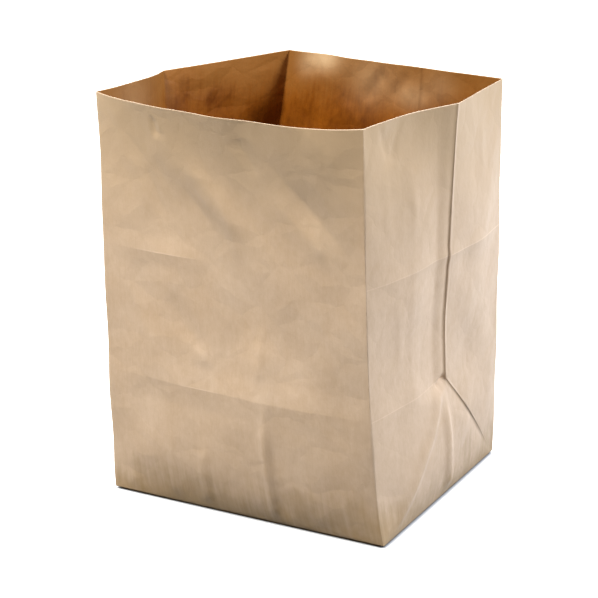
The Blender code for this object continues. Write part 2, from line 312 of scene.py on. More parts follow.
@dataclass
class PaperBag:
    """The bag: one sheet folded into four walls, and a base of glued flaps.

    A place on a wall is given on the flat-sided bag: x or y across the panel and z up. Each
    wall's method moves such places to where the opened, leaning and bellied paper has them.
    """

    # Finished size, measured along the folds
    width: float = 0.180
    depth: float = 0.152
    height: float = 0.240
    paper: float = 0.00015

    # How far the base's folded edge stands off the floor, and the height over which it fades
    edge_lift: float = 0.0013
    edge_lift_reach: float = 0.014

    # The long glued lap of the back panel, and the glued base
    lap_width: float = 0.020
    lap_inner_edge: float = 0.026
    lap_relax: float = 0.010
    lap_edge_layers: float = 3.2
    lap_step: float = 0.0002
    flap_overlap: float = 0.016
    flap_setback: float = 0.0014
    flap_groove: float = 0.0005
    glue_depth: float = 0.00005
    liner_margin: float = 0.004

    # Upright folds: foot, lean at the rim and bow at mid height
    front_left: UprightFold = UprightFold(
        (-0.090, -0.076), (-0.0092, 0.0149, -0.0014), (-0.0010, 0.0)
    )
    front_right: UprightFold = UprightFold(
        (0.090, -0.076), (-0.0052, -0.0118, -0.0007), (-0.0038, -0.0010)
    )
    back_right: UprightFold = UprightFold(
        (0.090, 0.076), (0.0116, -0.0230, 0.0017), (0.0006, 0.0006)
    )
    back_left: UprightFold = UprightFold(
        (-0.090, 0.076), (0.0275, 0.0216, -0.0010), (-0.0010, 0.0010)
    )
    right_pleat_lean: Point3 = (0.0164, -0.0187, 0.0017)
    left_pleat_lean: Point3 = (-0.0172, 0.0197, -0.0041)

    # Bellies of the panels
    rim_bow: float = 0.0110
    rim_bow_drop: float = 0.0018
    rim_bow_reach: float = 0.085
    rim_curl: float = 2.4
    front_belly: float = 0.0054
    back_belly: float = 0.0040
    side_belly: float = 0.0046
    belly_height: float = 0.040
    belly_curl: float = 2.3
    waist_height: float = 0.118
    side_rim_dip: float = 0.0036
    half_pleat_belly: float = 0.0022
    plateau_sharpness: float = 1.5

    # The bent-back stretch of the back panel's rim, across from the back-left fold and up
    flare: float = 0.0026
    flare_start: float = 0.004
    flare_end: float = 0.056
    flare_fade: float = 0.022
    flare_crease: float = 0.2265

    # Ridges left by folding the bag flat: height and spread
    base_crease: Point2 = (0.0010, 0.012)
    imprint_crease: Point2 = (0.0009, 0.009)
    imprint_end: float = 0.052
    imprint_fade: float = 0.030

    # The lip where the back half of a gusset overlaps the front half and the mitre, and the
    # valley in front of it: depth, bottom and spread
    pleat_tuck: Point2 = (0.0011, 0.005)
    mitre_tuck: Point2 = (0.0008, 0.010)
    pleat_valley: Point3 = (0.0022, 0.011, 0.036)
    side_imprint: Point2 = (0.0007, 0.006)
    tuck_lip: float = 0.0006
    pocket_depth: float = 0.008
    mitre_start: float = 0.050
    pleat_opening: float = 0.7

    # Grid of the sheet: step of its rows and columns, tight rows and columns beside a fold,
    # the least room left at a base corner, and how much finer a gusset's front half is
    grid_step: float = 0.0021
    fine_step: float = 0.0016
    plain_step: float = 0.0025
    fold_edge: float = 0.0005
    corner_room: float = 0.0015
    front_columns: float = 1.15

    # Rings that close the base, as shares of the way out from its middle
    base_rings: tuple[float, ...] = (0.996, 0.965, 0.93, 0.75, 0.45, 0.15)

    # Slow waves of the paper: how many, how high, the height over which they start, the range
    # of their number round the bag, and the most of them up a metre of it. The relief lines
    # start over a height of their own.
    waves: int = 40
    wave_height: float = 0.00022
    wave_start: float = 0.030
    wave_turns: tuple[int, int] = (2, 20)
    wave_climb: float = 18.0
    relief_start: float = 0.010
    seed: int = 7

    # Folds and dents, across from the panel's left fold and up: start, end, width and height
    front_lines: tuple[ReliefLine, ...] = relief_lines(
        ((0.044, 0.222), (0.112, 0.158), 0.011, 0.0015, Fold.SOFT, 0.4),
        ((0.062, 0.214), (0.104, 0.165), 0.008, 0.0007),
        ((0.06, 0.196), (0.086, 0.166), 0.007, -0.0007, Fold.CRISP, 0.4),
        ((0.042, 0.212), (0.05, 0.188), 0.006, -0.0006, Fold.CRISP, 0.4),
        ((0.108, 0.23), (0.192, 0.146), 0.034, 0.0078, Fold.HINGE, 0.4),
        ((0.128, 0.208), (0.178, 0.164), 0.013, -0.0018, Fold.CRISP, 0.4),
        ((0.114, 0.2), (0.164, 0.16), 0.009, 0.0009, Fold.SOFT),
        ((0.152, 0.192), (0.153, 0.16), 0.004, 0.0006),
        ((0.044, 0.128), (0.072, 0.096), 0.01, -0.0009, Fold.CRISP, 0.25),
        ((0.056, 0.106), (0.078, 0.09), 0.007, 0.0006),
        ((0.045, 0.234), (0.046, 0.221), 0.0034, -0.0012),
        ((0.043, 0.224), (0.054, 0.223), 0.0034, -0.0005),
        ((0.11, 0.118), (0.114, 0.01), 0.011, 0.0014, Fold.SOFT, 0.2),
        ((0.112, 0.124), (0.109, 0.085), 0.0045, 0.0006),
        ((0.112, 0.077), (0.114, -0.004), 0.0044, 0.0017),
        ((0.118, 0.062), (0.121, -0.004), 0.007, -0.0008),
        ((0.088, 0.204), (0.098, 0.15), 0.006, 0.0006),
        ((0.024, 0.212), (0.036, 0.172), 0.007, 0.0007),
        ((0.036, 0.206), (0.046, 0.17), 0.006, -0.0006),
        ((0.01, 0.14), (0.03, 0.112), 0.008, 0.0007),
        ((0.022, 0.118), (0.042, 0.09), 0.008, 0.0005),
        ((0.07, 0.048), (0.067, -0.003), 0.005, 0.0009),
        ((0.046, 0.048), (0.046, -0.003), 0.005, 0.0007),
        ((0.086, 0.04), (0.088, 0.002), 0.005, -0.0004),
        ((0.14, 0.03), (0.144, 0.002), 0.005, 0.0005),
        ((0.014, 0.016), (0.015, 0.0), 0.004, 0.0012),
        ((0.14, 0.14), (0.146, 0.096), 0.006, 0.0005),
        ((0.1, 0.232), (0.116, 0.206), 0.007, -0.0006),
    )
    right_lines: tuple[ReliefLine, ...] = relief_lines(
        ((0.018, 0.236), (0.028, 0.215), 0.008, -0.0012, Fold.SOFT),
        ((0.092, 0.152), (0.15, 0.147), 0.01, 0.0009, Fold.SOFT),
        ((0.07, 0.072), (0.084, -0.01), 0.006, 0.0022),
        ((0.068, 0.074), (0.046, 0.038), 0.006, 0.002),
        ((0.052, 0.05), (0.008, -0.004), 0.0064, 0.0026, Fold.CRISP, 0.2),
        ((0.0765, 0.0775), (0.0655, 0.0725), 0.0032, -0.0024),
        ((0.002, 0.044), (0.018, -0.004), 0.009, -0.0014, Fold.SOFT),
        ((0.014, 0.242), (0.024, 0.216), 0.0032, -0.0008),
        ((0.036, 0.24), (0.024, 0.214), 0.0032, -0.0007),
        ((0.016, 0.216), (0.02, 0.168), 0.005, 0.0005),
        ((0.04, 0.206), (0.042, 0.172), 0.005, 0.0005),
        ((0.116, 0.226), (0.12, 0.18), 0.006, 0.0005),
        ((0.026, 0.14), (0.03, 0.098), 0.006, 0.0006),
    )
    back_lines: tuple[ReliefLine, ...] = relief_lines(
        ((0.013, 0.226), (0.024, 0.231), 0.004, 0.0009),
        ((0.028, 0.238), (0.022, 0.225), 0.004, 0.001),
        ((0.069, 0.213), (0.088, 0.237), 0.007, 0.0016),
        ((0.092, 0.216), (0.108, 0.237), 0.006, 0.0013),
        ((0.056, 0.236), (0.058, 0.206), 0.006, 0.001),
    )

    # Patches of painted sheen inside: across from the back-left fold, up, both sizes and strength
    painted_sheen_patches: tuple[tuple[float, float, float, float, float], ...] = (
        (0.031, 0.238, 0.015, 0.008, 0.95),
        (0.016, 0.231, 0.008, 0.007, 0.25),
        (0.074, 0.228, 0.018, 0.016, 0.26),
        (0.110, 0.221, 0.014, 0.008, 0.34),
        (0.092, 0.230, 0.042, 0.016, 0.10),
        (0.132, 0.230, 0.012, 0.010, 0.20),
        (-0.118, 0.226, 0.022, 0.022, 0.24),
    )

    # Small kinks of the back panel: how many, how high, and the ranges of their places across
    # and up, lengths, widths and shares of the height
    crinkles: int = 80
    crinkle_height: float = 0.0006
    crinkle_across: Point2 = (0.01, 0.17)
    crinkle_up: Point2 = (0.06, 0.235)
    crinkle_length: Point2 = (0.010, 0.034)
    crinkle_width: Point2 = (0.003, 0.007)
    crinkle_share: Point2 = (0.4, 1.0)

    # How light the marks are: the upright folds, partly rubbed and partly painted highlight, and
    # the painted highlights along the creases of the front panel's middle, of a gusset's back half
    # and of its front half, lower and upper. The front panel's painted highlights lie round a place
    # across from the left, as far as a spread.
    fold_rub_and_highlight: float = 0.35
    front_crease_highlight: float = 0.9
    back_half_crease_highlight: Point2 = (0.0, 0.6)
    front_half_crease_highlight: Point2 = (0.35, 0.3)
    lower_crease_highlight: Point2 = (0.068, 0.020)
    upper_crease_highlight: Point2 = (0.044, 0.026)

    @property
    def half_depth(self) -> float:
        """Half the depth: the height of the mitre's tip and of the base crease."""
        return self.depth / 2

    def opened(self, z: Array) -> Array:
        """How far the rim has opened: a soft S over the top of the bag."""
        return smooth(1.0 - (self.height - z) / self.rim_bow_reach)

    def bowed(self, z: Array) -> Array:
        """How far the rim has bowed out: a power of the height, steepest at the rim."""
        return np.clip(1.0 - (self.height - z) / self.rim_bow_reach, 0.0, 1.0) ** self.rim_curl

    def belly(self, z: Array) -> Array:
        """The walls' belly: a power that is steepest at the base, then a soft S to the waist.

        Args:
            z: Heights on the flat sheet.

        Returns:
            1 at the belly, and nothing at the base and from the waist up.
        """
        rise = 1.0 - np.clip(1.0 - z / self.belly_height, 0.0, 1.0) ** self.belly_curl
        fall = smooth((self.waist_height - z) / (self.waist_height - self.belly_height))
        return np.where(z < self.belly_height, rise, fall)

    def flared(self, across: Array, z: Array) -> Array:
        """A bent-out stretch of the back's rim: even from the crease up, fading at both ends.

        Args:
            across: Places across from the back-left fold.
            z: Heights on the flat sheet.

        Returns:
            How far each point moves out.
        """
        start, end, crease = self.flare_start, self.flare_end, self.flare_crease
        fade = smooth((across - start) / self.flare_fade) * smooth((end - across) / self.flare_fade)
        return self.flare * fade * np.clip((z - crease) / (self.height - crease), 0.0, 1.0)

    def pleat_fold(self, z: Array, side: Side) -> Array:
        """A gusset's middle fold: upright to the mitre's tip, then leaning to the rim.

        Args:
            z: Heights on the flat sheet.
            side: Which gusset.

        Returns:
            One point for each height.
        """
        lean = self.right_pleat_lean if side is Side.RIGHT else self.left_pleat_lean
        share = np.clip((z - self.half_depth) / (self.height - self.half_depth), 0.0, 1.0)
        return np.stack(
            [side.value * self.width / 2 + lean[0] * share, lean[1] * share, z + lean[2] * share],
            axis=-1,
        )

    def mitre_fold(self, z: Array, side: Side, end: int) -> Array:
        """The fold that climbs at 45 degrees from a base corner: y = end * (D/2 - z).

        Args:
            z: Heights on the flat sheet.
            side: Which gusset.
            end: -1 for the front corner, 1 for the back one.

        Returns:
            One point for each height.
        """
        climb = np.minimum(z, self.half_depth)
        return np.stack(
            [np.full_like(z, side.value * self.width / 2), end * (self.half_depth - climb), z],
            axis=-1,
        )

    def front(self, x: Array, z: Array) -> Array:
        """Front panel: bowed out at the rim, waisted, bellied above the base, with its folds.

        The two folds' points are joined by straight lines. The bow, belly, creases and relief
        lines add up to how far the paper stands out, and a plateau holds that off the folds.

        Args:
            x: Places across the flat panel.
            z: Heights on it.

        Returns:
            One point for each place.
        """
        left = self.front_left.points(z, self.height)
        right = self.front_right.points(z, self.height)
        points = between(x, -self.width / 2, self.width / 2, left, right)
        across = plateau(x / self.width + 0.5, self.plateau_sharpness)
        bowed = self.bowed(z)
        out = self.rim_bow * bowed + self.front_belly * self.belly(z)
        out = out + self.base_crease[0] * tent(z - self.half_depth, self.base_crease[1])
        kept = 1.0 - smooth((x + self.width / 2 - self.imprint_end) / self.imprint_fade)
        out = out + self.imprint_crease[0] * tent(z - self.depth, self.imprint_crease[1]) * kept
        for line in self.front_lines:
            out = out + line.relief(x + self.width / 2, z) * smooth(z / self.relief_start)
        points[:, 1] -= out * across
        points[:, 2] -= self.rim_bow_drop * bowed * across * z / self.height
        return points

    def lap_lift(self, x: Array) -> Array:
        """How far the outer layer stands off at the glued lap: a steep rise, then a slow fall.

        Args:
            x: Places across the back panel.

        Returns:
            The lift at each place.
        """
        start = self.lap_inner_edge - self.lap_width
        rise = np.clip((x - (start - self.lap_step)) / self.lap_step, 0.0, 1.0)
        fall = np.clip((self.lap_inner_edge + self.lap_relax - x) / self.lap_relax, 0.0, 1.0)
        return self.paper * rise * fall

    def back_crinkles(self) -> list[ReliefLine]:
        """Small crisp kinks at seeded places all over the back panel, some out and some in.

        Returns:
            One line for each kink.
        """
        chance = np.random.default_rng(self.seed)
        lines = []
        for _ in range(self.crinkles):
            across, up = chance.uniform(*self.crinkle_across), chance.uniform(*self.crinkle_up)
            turn = chance.uniform(0, pi)
            length = chance.uniform(*self.crinkle_length)
            end = (across + length * cos(turn), up + length * sin(turn))
            share = chance.uniform(*self.crinkle_share)
            height = self.crinkle_height * share * chance.choice([-1.0, 1.0])
            width = chance.uniform(*self.crinkle_width)
            lines.append(ReliefLine((across, up), end, width, height))
        return lines

    def back(self, x: Array, z: Array) -> Array:
        """Back panel: bellied above the base, with the glued lap and its crinkles.

        Args:
            x: Places across the flat panel.
            z: Heights on it.

        Returns:
            One point for each place.
        """
        left = self.back_left.points(z, self.height)
        right = self.back_right.points(z, self.height)
        points = between(x, -self.width / 2, self.width / 2, left, right)
        across = plateau(x / self.width + 0.5, self.plateau_sharpness)
        out = self.back_belly * self.belly(z) + self.flared(x + self.width / 2, z)
        for line in (*self.back_lines, *self.back_crinkles()):
            out = out + line.relief(x + self.width / 2, z)
        points[:, 1] += out * across + self.lap_lift(x)
        return points

    @staticmethod
    def dipped(distance: Array, bottom: float, spread: float) -> Array:
        """A dip beside a fold, straight down to its bottom and straight out of it.

        Args:
            distance: Distance from the fold, on the covered side.
            bottom: Distance at which the dip is deepest.
            spread: Distance at which it has ended.

        Returns:
            1 at the bottom of the dip.
        """
        fall = distance / bottom
        rise = (spread - distance) / (spread - bottom)
        return np.clip(np.minimum(fall, rise), 0.0, 1.0)

    def gusset(self, y: Array, z: Array, side: Side) -> Array:
        """A side gusset: a mitred triangle at the base, then two half pleats up to the rim.

        Straight lines join the front fold, the two mitres (above their tip, the pleat) and the
        back fold. The belly, the half pleats' own swelling, the tucks along the lip and the
        relief lines then move the paper out along X.

        Args:
            y: Places across the flat gusset.
            z: Heights on it.
            side: Which gusset.

        Returns:
            One point for each place.
        """
        fold = self.half_depth
        right = side is Side.RIGHT
        front = (self.front_right if right else self.front_left).points(z, self.height)
        back = (self.back_right if right else self.back_left).points(z, self.height)
        pleat = self.pleat_fold(z, side)
        low = z < fold
        reach = np.where(low, fold - z, 0.0)
        front_end = np.where(low[:, None], self.mitre_fold(z, side, -1), pleat)
        back_end = np.where(low[:, None], self.mitre_fold(z, side, 1), pleat)
        points = np.where(
            (y < -reach)[:, None],
            between(y, -fold, -reach, front, front_end),
            np.where(
                (y > reach)[:, None],
                between(y, reach, fold, back_end, back),
                between(y, -reach, reach, front_end, back_end),
            ),
        )
        from_front = y + fold
        edge = plateau(from_front / self.depth, self.plateau_sharpness)
        half = np.abs(np.sin(2 * pi * np.clip(from_front / self.depth, 0.0, 1.0)))
        opened = self.opened(z)
        out = self.side_belly * self.belly(z) * edge
        out = out + self.half_pleat_belly * smooth((z - fold) / fold) * half * (1.0 - opened)
        out = out - self.side_rim_dip * opened * half * (y < 0)
        pleated = smooth((z - fold + self.pocket_depth) / self.pocket_depth)
        pleated = pleated * (1.0 - self.pleat_opening * opened)
        mitred = np.where(low & (y > -reach), smooth(z / self.mitre_start), 0.0)
        off_mitre = (fold - z - y) / sqrt(2)
        lip, valley = self.tuck_lip, self.pleat_valley
        pleat_dip = self.pleat_tuck[0] * self.dipped(-y, lip, self.pleat_tuck[1]) * pleated
        mitre_dip = self.mitre_tuck[0] * self.dipped(off_mitre, lip, self.mitre_tuck[1]) * mitred
        out = out - np.maximum(pleat_dip, mitre_dip)
        out = out - valley[0] * self.dipped(-y, valley[1], valley[2]) * pleated
        out = out + self.side_imprint[0] * tent(z - self.depth, self.side_imprint[1]) * edge
        crease = tent(z - fold, self.base_crease[1]) * (y < 0) * half
        out = out + self.base_crease[0] * crease
        if right:
            for line in self.right_lines:
                out = out + line.relief(from_front, z) * edge * smooth(z / self.relief_start)
        points[:, 0] += side.value * out
        return points

    def rows(self) -> Array:
        """Rows of the grid: even, but tight at the creases, the base and the rim.

        Returns:
            Their heights on the flat sheet.
        """
        edge = self.fold_edge
        creases = [self.paper, self.half_depth, self.depth, self.height]
        even = np.arange(self.paper, self.height, self.grid_step)
        free = [z for z in even if min(abs(z - c) for c in creases) > 2 * edge]
        tight = [c + step for c in creases for step in (-edge, 0.0, edge)]
        inside = [z for z in free + tight if self.paper <= z <= self.height]
        return np.array(sorted(inside))

    def columns(self, low: float, high: float, step: float) -> Array:
        """Places from one fold to just before the next, with tight columns beside both.

        Args:
            low: Flat place of the first fold.
            high: Flat place of the second, which may lie below the first.
            step: Distance between columns.

        Returns:
            The places, the first fold included and the second left out.
        """
        way = 1.0 if high > low else -1.0
        first, last = low + way * self.fold_edge, high - way * self.fold_edge
        count = max(2, round(abs(last - first) / step))
        return np.concatenate([[low], np.linspace(first, last, count + 1)])

    def gusset_columns(self, z: Array, step: float) -> Array:
        """Places across a gusset, front to back, in columns that follow the overlapping lip.

        The lip climbs the back mitre and then the pleat. In front of it the columns spread
        evenly over what is left of the panel, and behind it likewise.

        Args:
            z: Heights of the rows.
            step: Distance between columns where the panel is widest.

        Returns:
            One row of places for each height, both folds included.
        """
        fold = self.half_depth
        reach = np.clip(fold - z, 0.0, fold - self.corner_room)
        deep = reach - self.tuck_lip * np.where(z < fold, sqrt(2), 1.0)
        edge = self.fold_edge
        front_count = round(self.front_columns * fold / step)
        back_count = round(fold / step)
        front_share = np.linspace(0.0, 1.0, front_count + 1)
        back_share = np.linspace(0.0, 1.0, back_count + 1)
        front_span = (deep + fold - edge)[:, None]
        back_room = np.minimum(edge, (fold - reach) / 4)
        back_span = (fold - reach - 2 * back_room)[:, None]
        return np.hstack(
            [
                np.full((len(z), 1), -fold),
                -fold + edge + front_span * front_share,
                ((deep + reach) / 2)[:, None],
                reach[:, None],
                (reach + back_room)[:, None] + back_span * back_share,
                np.full((len(z), 1), fold),
            ]
        )

    def girth_waves(self, girth: Array, z: Array) -> Array:
        """Slow waves of the paper: a seeded sum of sines that closes round the girth.

        Each wave runs a whole number of times round the bag and some times up it, and its
        height falls with the square root of that number.

        Args:
            girth: Share of the way round the bag.
            z: Heights on the flat sheet.

        Returns:
            How far each point moves out, fading to nothing at the base.
        """
        chance = np.random.default_rng(self.seed)
        total = np.zeros_like(z)
        for _ in range(self.waves):
            turns = int(chance.integers(*self.wave_turns))
            climb = chance.uniform(-1.0, 1.0) * self.wave_climb
            start = chance.uniform(0.0, 2 * pi)
            wave = np.sin(2 * pi * (turns * girth + climb * z) + start)
            total = total + wave / sqrt(turns)
        return self.wave_height * total * smooth((z - self.paper) / self.wave_start)

    def outer_grid(self) -> tuple[Array, Array, Array, Array]:
        """The outside of the four walls as one grid of rows and columns.

        The columns run from the glued lap over the back, the right gusset, the front and the
        left gusset to the lap again.

        Returns:
            Points, places on the flat sheet, the lighter marks outside and inside (partly rubbed,
            partly painted highlight and painted sheen), and whether a column lies on the lap.
        """
        z = self.rows()
        wide, fold = self.width / 2, self.half_depth
        inner_edge = self.lap_inner_edge
        lap = inner_edge - self.lap_width
        marks = np.array([lap, inner_edge, inner_edge + self.lap_step, inner_edge + self.lap_relax])
        plain = self.columns(lap, wide, self.plain_step)
        clear = np.abs(plain[:, None] - marks).min(axis=1) > 2 * self.fold_edge
        first_back = np.sort(np.concatenate([plain[clear], marks]))
        front = self.columns(wide, -wide, self.fine_step)
        lap_end = lap - self.lap_step
        last_back = np.append(self.columns(-wide, lap_end, self.plain_step), lap_end)
        right = self.gusset_columns(z, self.grid_step)[:, :0:-1]
        left = self.gusset_columns(z, self.plain_step)[:, :-1]
        walls = (
            (first_back, self.back, first_back - lap),
            (right, partial(self.gusset, side=Side.RIGHT), wide - lap + fold - right),
            (front, self.front, 2 * wide - lap + 2 * fold - front),
            (left, partial(self.gusset, side=Side.LEFT), 3 * wide - lap + 3 * fold + left),
            (last_back, self.back, 4 * wide - lap + 4 * fold + last_back),
        )
        points, girth = [], []
        for places, wall, along in walls:
            shape = (len(z), places.shape[-1])
            moved = wall(np.broadcast_to(places, shape).ravel(), np.repeat(z, shape[1]))
            points.append(moved.reshape(*shape, 3))
            girth.append(np.broadcast_to(along, shape))
        grid = np.concatenate(points, axis=1)
        around = np.concatenate(girth, axis=1)
        up = np.repeat(z[:, None], grid.shape[1], axis=1)
        whole = 4 * (wide + fold)
        grid = grid + self.normals(grid) * self.girth_waves(around / whole, up)[..., None]
        grid[..., 2] += self.edge_lift * np.clip(1.0 - up / self.edge_lift_reach, 0.0, None)
        sheet = np.stack([around, up, np.zeros_like(up)], axis=-1)
        lapped = np.zeros(grid.shape[1], bool)
        lapped[: len(first_back)] = first_back <= inner_edge + TINY
        outside = self.rubbed_and_highlit(around, up)
        # Painted highlight: a thin light line just behind each gusset's overlapping lip, where the
        # fold's edge catches light
        lip = np.clip(fold - z, 0.0, fold - self.corner_room)[:, None]
        right_start = len(first_back)
        left_start = right_start + right.shape[1] + len(front)
        for places, first in ((right, right_start), (left, left_start)):
            off = places - lip
            shown = tent(off, 2 * self.fold_edge) * (off > -TINY)
            shown = shown * smooth(z / self.mitre_start)[:, None]
            stretch = outside[:, first : first + places.shape[1]]
            np.maximum(stretch, shown, out=stretch)
        # Painted sheen patches and the lighter rim inside
        inside = self.inner_rim_and_painted_sheen(around, up)
        return grid, sheet, outside, inside, lapped

    def inner_rim_and_painted_sheen(self, around: Array, up: Array) -> Array:
        """Lighter inner face: the rim, partly rubbed and partly painted highlight, and painted
        sheen below.

        Args:
            around: Place round the bag from the lap.
            up: Height on the flat sheet.

        Returns:
            0 for fresh paper, up to 1 on the rim.
        """
        lap = self.lap_inner_edge - self.lap_width
        whole = 2 * (self.width + self.depth)
        back_left = whole - self.width / 2 - lap
        total = tent(up - self.height, self.fold_edge)
        # Soft patches of painted sheen
        for across, height, wide, tall, strength in self.painted_sheen_patches:
            off = around - (back_left + across)
            off = off - whole * np.round(off / whole)
            total = total + strength * np.exp(-((off / wide) ** 2) - ((up - height) / tall) ** 2)
        return np.clip(total, 0.0, 1.0)

    def rubbed_and_highlit(self, around: Array, up: Array) -> Array:
        """Where the paper is lighter, partly rubbed, partly painted highlight: rim, corner folds,
        creases.

        Args:
            around: Place round the bag from the lap.
            up: Height on the flat sheet.

        Returns:
            0 for fresh paper, up to 1 on the rim.
        """
        lap = self.lap_inner_edge - self.lap_width
        corners = np.cumsum([self.width / 2 - lap, self.depth, self.width, self.depth])
        crisp = self.fold_edge
        # Corner folds and rim: partly rubbed, partly painted highlight
        upright = np.max([tent(around - c, crisp) for c in corners], axis=0)
        rim = tent(up - self.height, crisp)
        lower, upper = tent(up - self.half_depth, crisp), tent(up - self.depth, crisp)
        across = corners[2] - around
        (low_place, low_spread), (high_place, high_spread) = self.lower_crease_highlight, self.upper_crease_highlight
        # Painted highlights along the front panel's creases
        middle = np.maximum(
            lower * tent(across - low_place, low_spread),
            upper * tent(across - high_place, high_spread),
        )
        front = middle * ((across > 0) & (across < self.width))
        # Painted highlights along a gusset's creases
        behind = around - corners[0]
        back_half, front_half = (
            low * lower + high * upper for low, high in (self.back_half_crease_highlight, self.front_half_crease_highlight)
        )
        side = np.where(behind < self.half_depth, back_half, front_half)
        side = side * ((behind > 0) & (behind < self.depth))
        return np.max([self.fold_rub_and_highlight * upright, rim, self.front_crease_highlight * front, side], axis=0)

    @staticmethod
    def normals(grid: Array) -> Array:
        """Outward directions of the grid: upward step crossed with the step along the row.

        Args:
            grid: Points by row and column, closed along the rows.

        Returns:
            A unit vector at each point.
        """
        along = np.roll(grid, -1, axis=1) - np.roll(grid, 1, axis=1)
        upward = np.gradient(grid, axis=0)
        out = np.cross(upward, along)
        return out / np.maximum(np.linalg.norm(out, axis=-1, keepdims=True), TINY**2)

    @staticmethod
    def shorter_cut(grid: Array) -> Array:
        """Which diagonal of each patch is the shorter one.

        Args:
            grid: Points by row and column, closed along the rows.

        Returns:
            Whether it is the one that climbs along the row.
        """
        low, high = grid[:-1], grid[1:]
        rising = np.linalg.norm(low - np.roll(high, -1, axis=1), axis=-1)
        falling = np.linalg.norm(high - np.roll(low, -1, axis=1), axis=-1)
        return rising < falling

    @staticmethod
    def sheet_faces(rising: Array) -> Array:
        """Triangles between all rows of a closed grid, facing outwards.

        Args:
            rising: Whether each patch is cut along the diagonal that climbs along the row.

        Returns:
            Vertex numbers of two triangles for each patch.
        """
        rows, count = rising.shape
        numbers = np.arange((rows + 1) * count).reshape(rows + 1, count)
        low, high = numbers[:-1], numbers[1:]
        next_low, next_high = np.roll(low, -1, axis=1), np.roll(high, -1, axis=1)
        corners = np.stack([low, high, next_high, next_low], axis=-1)
        order = np.where(rising[..., None], [0, 1, 2, 0, 2, 3], [0, 1, 3, 1, 2, 3])
        return np.take_along_axis(corners, order, axis=-1).reshape(-1, 3)

    def walls(self) -> Shell:
        """The four walls and the base sheet as one closed shell of paper thickness.

        The inner face lies one paper thickness inside the outer one, two at the glued lap, and
        rings that shrink to the middle close the base below and above. Both faces of a patch
        are cut along the same diagonal, so that they bend alike and never meet.

        Returns:
            The shell.
        """
        outer, sheet, rub_and_highlight, wear_and_highlight, lapped = self.outer_grid()
        lifted = lapped & ~np.roll(lapped, -1)
        layers = np.where(lifted, self.lap_edge_layers, np.where(lapped, 2.0, 1.0))
        thickness = self.paper * layers[None, :, None]
        inner = outer - self.normals(outer) * thickness
        inner[0, :, 2] = outer[0, :, 2] + self.paper
        inner[-1, :, 2] = outer[-1, :, 2]
        out = np.array(self.base_rings)
        shrink = np.stack([out, out, np.zeros_like(out)], axis=-1)[:, None]
        raised = self.edge_lift * (np.arange(len(out)) == 0)
        under, above = outer[:1] * shrink, inner[:1] * shrink
        under[..., 2] = (self.paper + raised)[:, None]
        above[..., 2] = (2 * self.paper + raised)[:, None]
        grid = np.concatenate([under[::-1], outer, inner[::-1], above], axis=0)
        rows, count = grid.shape[:2]
        cut = self.shorter_cut(grid)
        start, tall = len(out), len(outer)
        cut[start + tall : start + 2 * tall - 1] = ~cut[start : start + tall - 1][::-1]
        bottom, top = rows * count, rows * count + 1
        first, last = np.arange(count), np.arange(count) + (rows - 1) * count
        fans = (
            np.stack([np.full(count, bottom), first, np.roll(first, -1)], axis=-1),
            np.stack([np.full(count, top), np.roll(last, -1), last], axis=-1),
        )
        places = [under[::-1], sheet, sheet[::-1], above]
        # Lighter marks outside and inside: partly rubbed, partly painted highlight and painted
        # sheen
        marks = [np.zeros(under.shape[:2]), rub_and_highlight, wear_and_highlight[::-1], np.zeros(above.shape[:2])]
        within = [0 * marks[0], 0 * rub_and_highlight, 0 * rub_and_highlight + 1, 0 * marks[3] + 1]
        middle = [[0.0, 0.0, self.paper], [0.0, 0.0, 2 * self.paper]]
        return Shell(
            points=np.vstack([grid.reshape(-1, 3), middle]),
            faces=[self.sheet_faces(cut), *fans],
            sheet=np.vstack([np.concatenate(places).reshape(-1, 3), middle]),
            inside=np.append(np.concatenate(within).ravel(), [0.0, 1.0]),
            rub_and_highlight=np.append(np.concatenate(marks).ravel(), [0.0, 0.0]),
        )

    def slab(self, outline: list[Point2], low: float, high: float, inside: float) -> Shell:
        """A flat flap: an outline given a thickness.

        Args:
            outline: Corners, anticlockwise seen from above.
            low: Height of its underside.
            high: Height of its top.
            inside: 1 where it lies inside the bag.

        Returns:
            The closed slab.
        """
        count = len(outline)
        points = np.array([(x, y, z) for z in (low, high) for x, y in outline])
        ring = np.arange(count)
        step = np.roll(ring, -1)
        sides = np.stack([ring, step, step + count, ring + count], axis=-1)
        faces = [ring[None, ::-1], ring[None] + count, sides]
        return Shell(points, faces, points.copy(), np.full(2 * count, inside), np.zeros(2 * count))

    def flaps(self) -> list[Shell]:
        """The base's two mitred flaps outside, and the folded-in gusset ends inside.

        Returns:
            One slab for each flap.
        """
        hinge_half = self.width / 2 - self.flap_setback * (1 + sqrt(2))
        hinge = self.half_depth - self.flap_setback
        free = -self.flap_overlap / 2
        cross = hinge_half - hinge
        tip = cross + free
        gap = self.flap_groove
        outer = [(-tip, free), (tip, free), (hinge_half, hinge), (-hinge_half, hinge)]
        inner = [
            (-hinge_half, -hinge),
            (hinge_half, -hinge),
            (cross + gap / 2, -gap / 2),
            (tip + gap / 2, free - gap),
            (-tip - gap / 2, free - gap),
            (-cross - gap / 2, -gap / 2),
        ]
        glued = self.paper + self.glue_depth
        slabs = [self.slab(outline, 0.0, glued, 0.0) for outline in (outer, inner)]
        reach = hinge - self.liner_margin
        for way in (-1, 1):
            half = [(tip, reach), (hinge_half, hinge)]
            end = [(x, -y) for x, y in half] + half[::-1]
            outline = [(way * x, y) for x, y in end]
            ordered = outline if way > 0 else outline[::-1]
            low, high = 2 * self.paper - self.glue_depth, 3 * self.paper
            slabs.append(self.slab(ordered, low, high, 1.0))
        return slabs

    def build(self, outer: bpy.types.Material, inner: bpy.types.Material) -> bpy.types.Object:
        """The bag's object, in the finishes of the sheet's outer and inner face."""
        shell = Shell.joined([self.walls(), *self.flaps()])
        return shell.as_object("kraft_bag_sheet", [outer, inner])


@dataclass(frozen=True)
class Pattern:
    """A cloudy pattern of paper: its size across and up the sheet in metres, and its grain."""

    across: float
    up: float
    detail: float
    roughness: float
    shift: float


